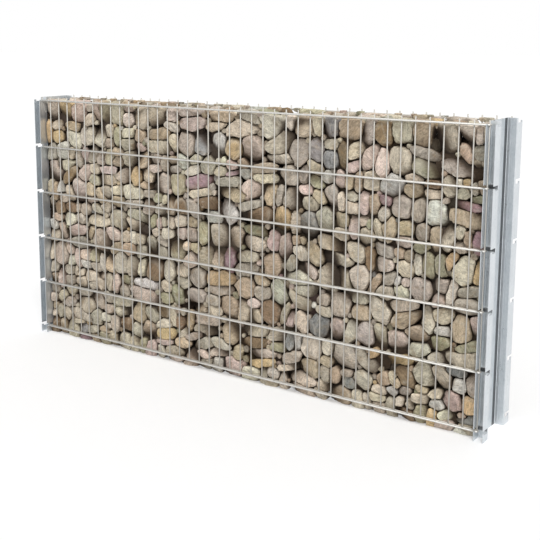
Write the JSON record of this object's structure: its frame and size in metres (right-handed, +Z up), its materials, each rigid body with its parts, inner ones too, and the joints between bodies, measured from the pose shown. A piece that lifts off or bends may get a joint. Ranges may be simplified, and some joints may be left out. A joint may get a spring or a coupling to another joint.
{
  "type": "gabion wall",
  "caption": "Gabion wall bay: slotted steel posts carry twin-wire mesh mats on both faces, with a packed stone fill between them.",
  "frame": {"origin": "on the ground, under the middle of the wall", "axes": "+X along the wall, +Y to its back, +Z up"},
  "size_m": [2.0576, 0.228, 1.0435],
  "materials": {
    "post_steel": "hot-dip galvanised sheet, satin",
    "wire_steel": "hot-dip galvanised wire, light grey",
    "stones": "natural broken and rounded stones, beige to grey"
  },
  "bodies": {
    "root": {"left_post_front_channel": "post_steel", "left_post_rear_channel": "post_steel", "left_post_web": "post_steel", "right_post_front_channel": "post_steel", "right_post_rear_channel": "post_steel", "right_post_web": "post_steel", "front_mat": "wire_steel", "rear_mat": "wire_steel", "front_inner_wire_1": "wire_steel", "front_inner_wire_2": "wire_steel", "front_inner_wire_3": "wire_steel", "front_inner_wire_4": "wire_steel", "front_inner_wire_5": "wire_steel", "front_inner_wire_6": "wire_steel", "rear_inner_wire_1": "wire_steel", "rear_inner_wire_2": "wire_steel", "rear_inner_wire_3": "wire_steel", "rear_inner_wire_4": "wire_steel", "rear_inner_wire_5": "wire_steel", "rear_inner_wire_6": "wire_steel", "stone_lift_1": "stones", "stone_lift_2": "stones", "stone_lift_3": "stones", "stone_lift_4": "stones", "stone_lift_5": "stones"}
  },
  "joints": []
}
